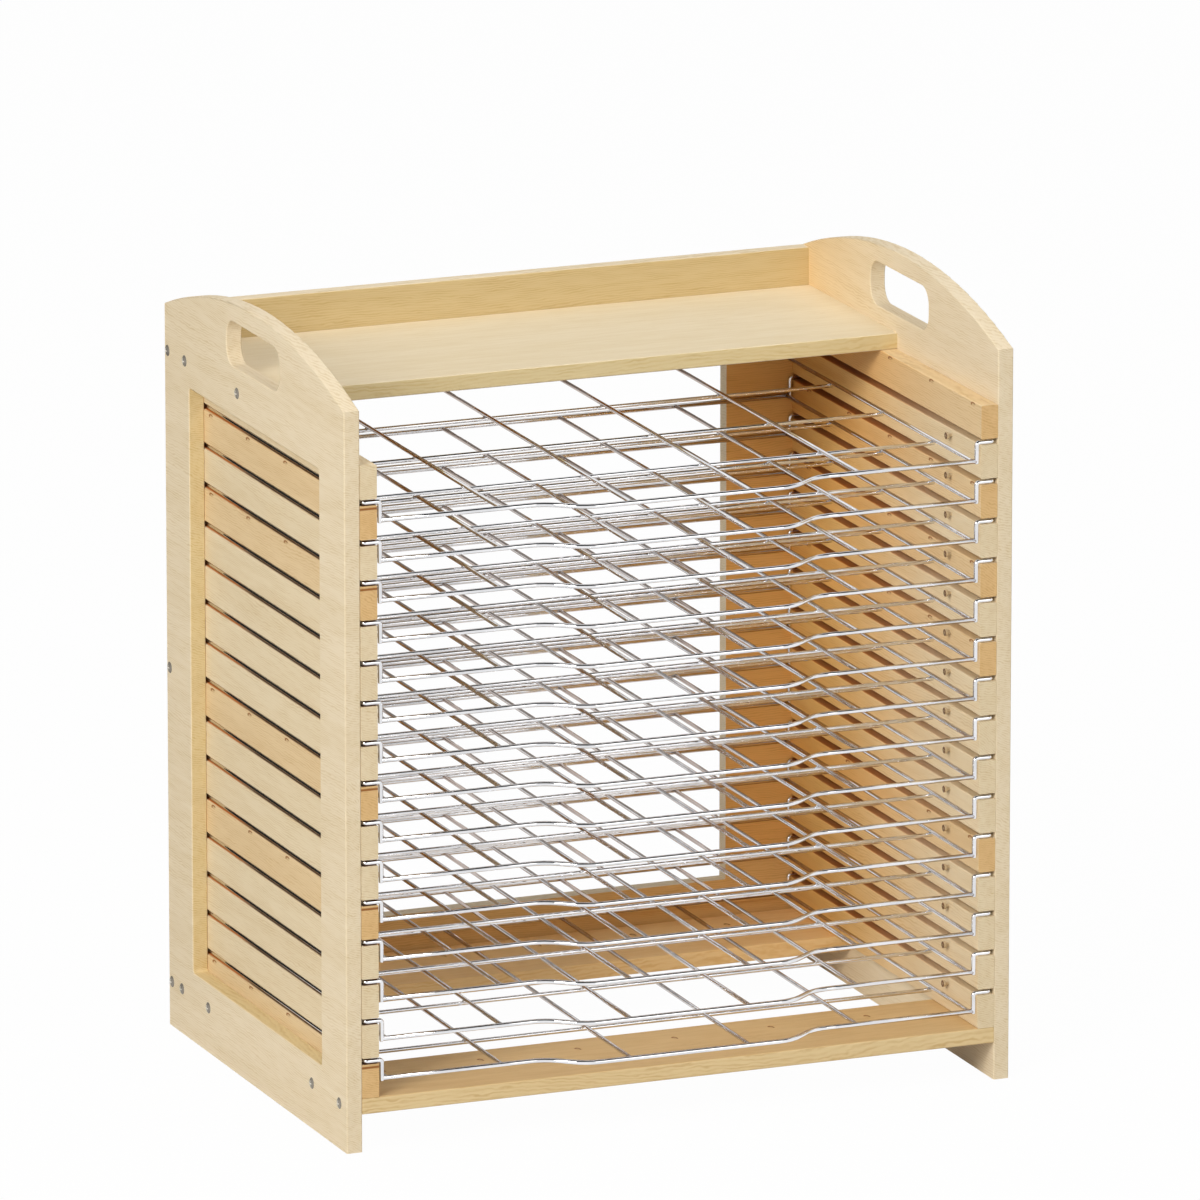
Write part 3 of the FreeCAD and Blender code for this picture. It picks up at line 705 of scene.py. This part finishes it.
class RACK_OT_dress_side_panels(bpy.types.Operator):
    """Gives the side panels their pine, with the growth lines lying level."""

    bl_idname = "rack.dress_side_panels"
    bl_label = "Side Panels"

    def execute(self, context):
        wood = context.scene.rack_wood
        for number, name in enumerate(("left_side_panel", "right_side_panel")):
            low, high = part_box(name)
            window = ("X", low.y + 20 * MM, high.y - 20 * MM, low.z + 20 * MM, SLAT_STACK[1])
            dress_node(name, pine_material(name + "_pine", wood.case_pale, wood.case_line, "YZX", "*X",
                                           board=1.0 + 4.6 * number, cuts=window))
        return {"FINISHED"}


class RACK_OT_dress_back_panel(bpy.types.Operator):
    """Gives the back panel its pine."""

    bl_idname = "rack.dress_back_panel"
    bl_label = "Back Panel"

    def execute(self, context):
        wood = context.scene.rack_wood
        shelf_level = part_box("top_shelf")[0].z
        window_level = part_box("bottom_rear_board")[1].z + 40 * MM
        # Painted shade: each part of the back panel's frame gets its own darker tone on its inner face.
        painted_shade_parts = ((0.0, window_level, wood.low_rail_painted_shade), (window_level, shelf_level, wood.stile_painted_shade),
                       (shelf_level, 1.0, wood.top_rail_painted_shade))
        dress_node("back_panel", pine_material("back_panel_pine", wood.case_pale, wood.case_line, "XZY", "-Y",
                                               board=9.0, painted_shade_zones=painted_shade_parts))
        return {"FINISHED"}


class RACK_OT_dress_shelf(bpy.types.Operator):
    """Gives the top shelf its paler pine, with the growth lines from end to end."""

    bl_idname = "rack.dress_shelf"
    bl_label = "Top Shelf"

    def execute(self, context):
        wood = context.scene.rack_wood
        low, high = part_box("top_shelf")
        front = ("Z", low.y - MM, low.y + MM, low.z, high.z)
        dress_node("top_shelf", pine_material("top_shelf_pine", wood.shelf_pale, wood.shelf_line, "XYZ", "-Z",
                                              board=12.0, cuts=front))
        return {"FINISHED"}


class RACK_OT_dress_bottom_boards(bpy.types.Operator):
    """Gives the two bottom boards their warmer pine and their pin knots. The front board's top has painted
    shade, and the rear board's pine is made brighter and warmer as painted light.
    """

    bl_idname = "rack.dress_bottom_boards"
    bl_label = "Bottom Boards"

    def execute(self, context):
        wood = context.scene.rack_wood
        for name, pale, line, board, sides in (
                # The front board's top gets painted shade.
                ("bottom_front_board", wood.board_pale, wood.board_line, 15.0, ("Z", wood.board_top_painted_shade)),
                # The rear board's pine is brighter as painted light.
                ("bottom_rear_board", wood.rear_board_pale_and_painted_light, wood.rear_board_line_and_painted_light, 17.2, None)):
            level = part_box(name)[0].y + 60 * MM
            dress_node(name, pine_material(name + "_pine", pale, line, "XYZ", "-Z", board=board,
                                           sides=sides, knots=((20 * MM, level),)))
        return {"FINISHED"}


class RACK_OT_dress_slats(bpy.types.Operator):
    """Gives each slat its own piece of pine; the warmer slats have pin knots near their top edges."""

    bl_idname = "rack.dress_slats"
    bl_label = "Slats"

    def execute(self, context):
        wood = context.scene.rack_wood
        plain = pine_material("slat_pine", wood.slat_pale, wood.slat_line, "YZX", "*X", numbered=True)
        level = SLAT_RISE - 2.4 * MM
        for side, start in (("left", 52 * MM), ("right", 71 * MM)):
            warm = pine_material(side + "_slat_warm_pine", wood.warm_pale, wood.warm_line, "YZX", "*X",
                                 numbered=True, knots=((start, level),), squeeze=(0.4, 1.0),
                                 sides=("Y", wood.end_tone))
            for name in SLAT_NAMES:
                if name.startswith(side):
                    dress_node(name, warm if int(name[-2:]) in WARM_SLATS[side] else plain)
        return {"FINISHED"}


class RACK_OT_dress_fixings(bpy.types.Operator):
    """Gives the screws their plated steel with painted highlights and shade on their heads, and the dowels
    their hard wood.
    """

    bl_idname = "rack.dress_fixings"
    bl_label = "Screws and Dowels"

    def execute(self, context):
        wood = context.scene.rack_wood
        wires = context.scene.rack_wires
        dress_node("case_screws", metal_material(
            "case_screw_steel", wires.steel, wires.steel_worn, 0.42, 0.15, 3 * MM,
            heads=(wires.steel_shade, wires.steel_recess_painted_highlight, wires.steel_recess_painted_highlight), metallic=0.35))
        dress_node("tray_stop_screws", metal_material(
            "stop_screw_steel", wires.stop_plating_and_highlight, wires.stop_shade, 0.42, 0.15, 3 * MM,
            heads=(wires.stop_shade, wires.stop_recess_painted_shade, wires.stop_shade), metallic=0.2))
        dowel = pine_material("dowel_wood", wood.warm_pale, wood.warm_line, "XYZ", "*X", board=21.0)
        for name in ("left_slat_dowels", "right_slat_dowels"):
            dress_node(name, dowel)
        return {"FINISHED"}


class RACK_OT_build_trays(bpy.types.Operator):
    """Bends and welds the wire of every tray, each riding on its own sliding body."""

    bl_idname = "rack.build_trays"
    bl_label = "Wire Trays"

    def execute(self, context):
        wires = context.scene.rack_wires
        plating = metal_material("tray_plating", wires.plating, wires.plating_shade, 0.03, 0.04, 30 * MM,
                                 edge=wires.plating_edge_painted_reflection)
        weld = metal_material("tray_weld", wires.weld, wires.plating_shade, 0.32, 0.2, 2 * MM)
        (wire_points, wire_faces), (weld_points, weld_faces) = tray_surfaces(wires)
        vertices, faces = join_surfaces([(wire_points, wire_faces), (weld_points, weld_faces)])
        numbers = np.array([0] * len(wire_faces) + [1] * len(weld_faces), np.int32)
        for name in TRAY_NAMES:
            rail_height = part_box(name)[1].z - wires.rim_wire / 2
            piece = new_piece(name.replace("tray_", "tray_wires_"), vertices + (0, 0, rail_height), faces,
                              (plating, weld), numbers)
            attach(piece, name)
            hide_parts(name)
            # The wires cast no shadow, which keeps the light inside the case even.
            piece.visible_shadow = False
        return {"FINISHED"}


def lamp(name, place, aim, size, power, colour):
    """A soft rectangular lamp that shines from one point towards another."""
    data = bpy.data.lights.new(name, "AREA")
    data.shape = "RECTANGLE"
    data.size, data.size_y = size
    data.energy = power
    data.color = colour
    light = bpy.data.objects.new(name, data)
    light.location = place
    light.rotation_euler = (Vector(aim) - Vector(place)).to_track_quat("-Z", "Y").to_euler()
    bpy.context.scene.collection.objects.link(light)
    return light


def card_surface(low, high, rows):
    """A grey card: a sheet from its low to its high corner, drawn out along X and bent in Y and Z along a
    quarter of a superellipse, y = low + (1 - cos(t) ** 0.7) and z = low + sin(t) ** 0.7 of its reach."""
    turn = np.linspace(0, math.pi / 2, rows)
    y = low[1] + (high[1] - low[1]) * (1 - np.cos(turn) ** 0.7)
    z = low[2] + (high[2] - low[2]) * np.sin(turn) ** 0.7
    x = np.linspace(low[0], high[0], 10)
    grid = np.stack(np.broadcast_arrays(x[:, None], y[None], z[None]), axis=-1)
    corner = (np.arange(9)[:, None] * rows + np.arange(rows - 1)).ravel()
    faces = np.stack((corner, corner + 1, corner + rows + 1, corner + rows), axis=-1)
    return grid.reshape(-1, 3), faces.tolist()


def seen_ray(tree):
    """1 for rays from the camera, from a mirror or through glass, and 0 for rays that carry light."""
    rays = tree.nodes.new("ShaderNodeLightPath").outputs
    seen = calc(tree, "MAXIMUM", rays["Is Camera Ray"], rays["Is Glossy Ray"])
    return calc(tree, "MAXIMUM", seen, rays["Is Transmission Ray"])


class RACK_OT_set_stage(bpy.types.Operator):
    """Sets a plain pale floor, soft studio light, dark cards that only the metal mirrors, and the camera."""

    bl_idname = "rack.set_stage"
    bl_label = "Stage"

    def execute(self, context):
        stage = context.scene.rack_stage
        reach = stage.floor_size / 2
        corners = np.array(((-1, -1, 0), (1, -1, 0), (1, 1, 0), (-1, 1, 0))) * reach
        material, tree, place, _ = new_material("floor_paint")
        mottle = cloud(tree, stretched(tree, place, 3, 3, 3), 2.0)
        shade = blend_colours(tree, calc(tree, "MULTIPLY", mottle, 0.05), opaque(stage.floor_shade),
                              (0.8, 0.8, 0.8, 1.0))
        lit = put(tree, "ShaderNodeBsdfDiffuse", {"Color": shade})
        white = put(tree, "ShaderNodeEmission", {"Color": (1, 1, 1, 1), "Strength": 1.0})
        share = calc(tree, "MULTIPLY", seen_ray(tree), 0.98)
        mixed = put(tree, "ShaderNodeMixShader", {0: share, 1: lit.outputs[0], 2: white.outputs[0]})
        finish_material(tree, mixed.outputs[0])
        floor = new_piece("stage_floor", corners, [[0, 1, 2, 3]], (material,), np.zeros(1, np.int32))

        world = bpy.data.worlds.new("studio_light")
        world.use_nodes = True
        tree = world.node_tree
        tree.nodes.clear()
        strength = calc(tree, "MULTIPLY_ADD", seen_ray(tree), 1.0 - stage.sky_light, stage.sky_light)
        sky = put(tree, "ShaderNodeBackground", {"Color": (1, 1, 1, 1), "Strength": strength})
        output = tree.nodes.new("ShaderNodeOutputWorld")
        tree.links.new(sky.outputs[0], output.inputs["Surface"])
        context.scene.world = world

        lamp("key_lamp", (-5.0, -3.4, 3.7), (0, 0, 0.3), (2.8, 2.8), stage.key_power, (1, 0.98, 0.95))
        lamp("front_lamp", (1.4, -4.2, 1.9), (0, 0, 0.2), (2.2, 2.2), stage.front_power, (1, 0.98, 0.95))
        lamp("top_lamp", (0.2, -0.4, 3.8), (0, 0, 0.3), (2.2, 2.2), stage.top_power, (1, 0.99, 0.97))

        # Painted reflection: faintly glowing dark sheets that only mirrors see, standing in for dark
        # surroundings in the metal; the side card darkens the rails in the left slots.
        for name, low, high, brightness in (
                ("stage_rear_reflection_card", (-4.5, 2.6, 0.55), (4.5, 3.1, 2.1), stage.rear_card),
                ("stage_ceiling_reflection_card", (-3.0, -2.8, 2.3), (3.0, 0.8, 2.9), stage.ceiling_card),
                ("stage_side_reflection_card", (-0.47, 0.23, 0.002), (-0.262, 0.25, 0.66), stage.side_card)):
            paint, tree, place, _ = new_material(name + "_paint")
            shade = blend_colours(tree, cloud(tree, place, 1.0), opaque([brightness] * 3),
                                  opaque([brightness * share for share in (0.9, 0.75, 0.6)]))
            glow = put(tree, "ShaderNodeEmission", {"Color": shade, "Strength": 1.0})
            finish_material(tree, glow.outputs[0])
            points, faces = card_surface(low, high, 12)
            card = new_piece(name, points, faces, (paint,), np.zeros(len(faces), np.int32))
            card.visible_camera = card.visible_diffuse = False
            card.visible_shadow = card.visible_transmission = False

        data = bpy.data.cameras.new("photo_camera")
        data.sensor_width = 36
        data.lens = stage.lens
        data.clip_end = 200
        camera = bpy.data.objects.new("photo_camera", data)
        camera.location = stage.camera_place
        aim = Vector(stage.camera_aim) - Vector(stage.camera_place)
        camera.rotation_euler = aim.to_track_quat("-Z", "Y").to_euler()
        context.scene.collection.objects.link(camera)
        context.scene.camera = camera
        context.scene.view_settings.view_transform = "Standard"
        return {"FINISHED"}


STEPS = (RACK_OT_dress_side_panels, RACK_OT_dress_back_panel, RACK_OT_dress_shelf,
         RACK_OT_dress_bottom_boards, RACK_OT_dress_slats, RACK_OT_dress_fixings, RACK_OT_build_trays,
         RACK_OT_set_stage)


class RACK_PT_sidebar(bpy.types.Panel):
    """Lists the rack's pieces and the stage."""

    bl_idname = "RACK_PT_sidebar"
    bl_label = "Drying Rack"
    bl_space_type = "VIEW_3D"
    bl_region_type = "UI"
    bl_category = "Drying Rack"

    def draw(self, context):
        for step in STEPS:
            self.layout.operator(step.bl_idname)


SETTINGS = (("rack_wood", RackWoodSettings), ("rack_wires", RackWireSettings),
            ("rack_stage", RackStageSettings))


def register():
    """Makes the settings, operators and panel known to Blender."""
    for name, group in SETTINGS:
        bpy.utils.register_class(group)
        setattr(bpy.types.Scene, name, bpy.props.PointerProperty(type=group))
    for kind in (*STEPS, RACK_PT_sidebar):
        bpy.utils.register_class(kind)


def unregister():
    """Takes them away again."""
    for kind in reversed((*STEPS, RACK_PT_sidebar)):
        bpy.utils.unregister_class(kind)
    for name, group in reversed(SETTINGS):
        delattr(bpy.types.Scene, name)
        bpy.utils.unregister_class(group)


def main():
    """Builds every piece in order."""
    register()
    for step in STEPS:
        family, action = step.bl_idname.split(".")
        getattr(getattr(bpy.ops, family), action)()


if __name__ == "__main__":
    main()
